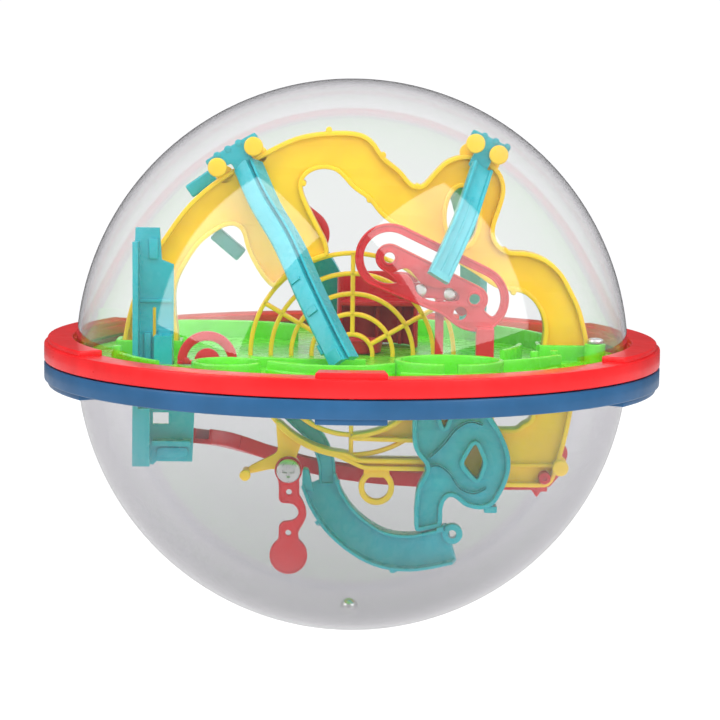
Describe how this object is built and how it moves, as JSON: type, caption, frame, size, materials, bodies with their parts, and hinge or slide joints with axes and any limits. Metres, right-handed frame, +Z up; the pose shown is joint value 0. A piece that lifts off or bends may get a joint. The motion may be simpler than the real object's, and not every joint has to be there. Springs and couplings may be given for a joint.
{
  "type": "tilt maze ball",
  "caption": "Hand-held tilt maze: clear domes clamped by a red and a blue ring round a green deck, with yellow, teal and red tracks and a captive steel ball.",
  "frame": {"origin": "centre of the clear sphere, which is the centre of the bounding box", "axes": "+X to the player's right, -Y towards the player, +Z up through the middle of the upper dome, square to the rings"},
  "size_m": [0.19, 0.19, 0.1704],
  "materials": {
    "clear_dome": "clear polished plastic",
    "red_ring": "glossy moulded red",
    "blue_ring": "glossy moulded blue",
    "green_plastic": "glossy moulded bright green",
    "yellow_plastic": "glossy moulded yellow",
    "teal_plastic": "glossy moulded teal",
    "red_plastic": "glossy moulded red",
    "screw_steel": "zinc-plated",
    "ball_steel": "polished"
  },
  "bodies": {
    "shell": {"upper_dome": "clear_dome", "lower_dome": "clear_dome", "upper_ring": "red_ring", "lower_ring": "blue_ring", "ring_screw_1": "screw_steel", "ring_screw_2": "screw_steel", "ring_screw_3": "screw_steel", "ring_screw_4": "screw_steel", "ring_screw_5": "screw_steel", "ring_screw_6": "screw_steel", "equator_deck": "green_plastic", "upper_arch": "yellow_plastic", "lower_plate": "yellow_plastic", "front_left_chute": "teal_plastic", "front_right_chute": "teal_plastic", "rear_left_chute": "teal_plastic", "rear_right_chute": "teal_plastic", "left_bracket": "teal_plastic", "arch_clip_outer": "teal_plastic", "arch_clip_inner": "teal_plastic", "loop_rail": "red_plastic", "loop_rail_strap": "red_plastic", "loop_rail_screw_1": "screw_steel", "loop_rail_screw_2": "screw_steel", "small_gate": "red_plastic", "rear_tower": "red_plastic", "rear_link": "red_plastic", "centre_cup": "red_plastic", "under_rail": "red_plastic", "lower_track": "teal_plastic", "figure_loop_track": "teal_plastic", "deck_screw": "screw_steel", "swing_arm_screw": "screw_steel"},
    "arm": {"swing_arm": "red_plastic"},
    "ball": {"steel_ball": "ball_steel"}
  },
  "joints": [
    {"name": "arm_swing", "type": "hinge", "parent": "shell", "child": "arm", "pos_m": [-0.0192, -0.0075, -0.0354], "axis": [0, -1, 0], "range_deg": [-40, 40]},
    {"name": "ball_roll", "type": "hinge", "parent": "shell", "child": "ball", "pos_m": [0, 0, 0], "axis": [1, 0, 0], "range_deg": [-70, 70]}
  ]
}
